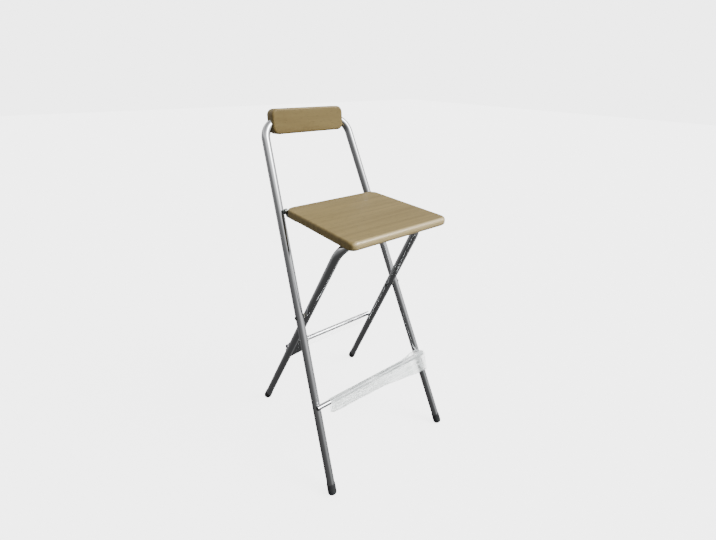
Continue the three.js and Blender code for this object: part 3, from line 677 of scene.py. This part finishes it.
# Room light: a bright lamp high behind the camera's right shoulder with a wide glow round it,
# a paler wall to the right, a faint light behind on the left, and a dim room elsewhere
roomShade = {
    "lampAt": (0.468, -0.580, 0.666),    # directions from the stool
    "lamp": 26.0,
    # each place is the cosine of the angle from the light
    "lampByAngle": [(0.35, 0.0), (0.55, 0.007), (0.70, 0.014), (0.80, 0.032), (0.87, 0.037), (0.92, 0.06),
                    (0.96, 0.20), (0.985, 0.65), (0.995, 0.9), (1.0, 1.0)],
    "wallAt": (0.994, -0.050, 0.093),
    "wall": 0.63,
    "wallByAngle": [(0.0, 0.0), (0.4, 0.22), (0.7, 0.35), (1.0, 1.0)],
    "doorAt": (-0.310, 0.927, 0.209),
    "door": 0.35,
    "doorByAngle": [(0.3, 0.0), (0.6, 0.1), (1.0, 1.0)],
    # places run from straight down, 0, to straight up, 1
    "roomByHeight": [(0.0, 0.09), (0.33, 0.105), (0.46, 0.16), (0.54, 0.22), (0.63, 0.265), (0.71, 0.34),
                     (0.78, 0.95), (0.82, 1.2), (0.88, 0.9), (1.0, 0.4)],
    "onMatt": 0.53,       # matt surfaces get half of it, so that the wood isn't washed out beside the bright tubes
    "backdrop": 4.2,      # what the camera sees behind the stool
    "floorGlow": 3.7,     # the floor's own part of that, beside what the room's light gives it
    "floor": "#f4f4f4", "floorRoughness": 0.9, "floorReach": 12,     # metres
}


def paleFloor():
    look = roomShade
    bm = bmesh.new()
    bmesh.ops.create_grid(bm, x_segments=1, y_segments=1, size=look["floorReach"])
    mesh = bpy.data.meshes.new("floor")
    bm.to_mesh(mesh)
    bm.free()
    floor = bpy.data.objects.new("floor", mesh)
    bpy.context.scene.collection.objects.link(floor)
    material, _, shader, _ = startMaterial("paleFloor", look["floor"], 0, look["floorRoughness"])
    shader.inputs["Emission Color"].default_value = (1, 1, 1, 1)
    shader.inputs["Emission Strength"].default_value = look["floorGlow"]
    mesh.materials.append(material)
    floor.visible_glossy = False     # the real tubes mirror a dark floor, not a white sweep
    floor.visible_diffuse = False


def roomLight():
    look = roomShade
    world = bpy.data.worlds.new("room")
    bpy.context.scene.world = world
    world.use_nodes = True
    tree = world.node_tree
    tree.nodes.clear()
    direction = addNode(tree, "ShaderNodeTexCoord").outputs["Generated"]
    height = addNode(tree, "ShaderNodeSeparateXYZ", links={"Vector": direction}).outputs["Z"]
    upTo = addNode(tree, "ShaderNodeMapRange", {"From Min": -1.0, "From Max": 1.0}, {"Value": height})
    total = colourSteps(addNode(tree, "ShaderNodeValToRGB", links={"Fac": upTo.outputs["Result"]}),
                        look["roomByHeight"]).outputs["Color"]
    for part in ("lamp", "wall", "door"):
        toward = addNode(tree, "ShaderNodeVectorMath", {"operation": "DOT_PRODUCT", 1: look[part + "At"]},
                         {0: direction})
        lobe = colourSteps(addNode(tree, "ShaderNodeValToRGB", links={"Fac": toward.outputs["Value"]}),
                           look[part + "ByAngle"])
        total = addNode(tree, "ShaderNodeMath", {"operation": "MULTIPLY_ADD", 1: look[part]},
                        {0: lobe.outputs["Color"], 2: total}).outputs["Value"]
    path = addNode(tree, "ShaderNodeLightPath")
    strength = addNode(tree, "ShaderNodeMapRange", {"To Min": look["onMatt"], "To Max": 1.0},
                       {"Value": path.outputs["Is Glossy Ray"]})
    dimRoom = addNode(tree, "ShaderNodeBackground",
                      links={"Color": total, "Strength": strength.outputs["Result"]})
    white = addNode(tree, "ShaderNodeBackground", {"Color": (1, 1, 1, 1), "Strength": look["backdrop"]})
    seen = addNode(tree, "ShaderNodeMath", {"operation": "MAXIMUM"},     # seen straight, or through the film
                   {0: path.outputs["Is Camera Ray"], 1: path.outputs["Is Transmission Ray"]})
    chosen = addNode(tree, "ShaderNodeMixShader",
                     links={0: seen.outputs["Value"], 1: dimRoom.outputs["Background"],
                            2: white.outputs["Background"]})
    addNode(tree, "ShaderNodeOutputWorld", links={"Surface": chosen.outputs["Shader"]})


paleFloor()
roomLight()
print("camera and light placed")
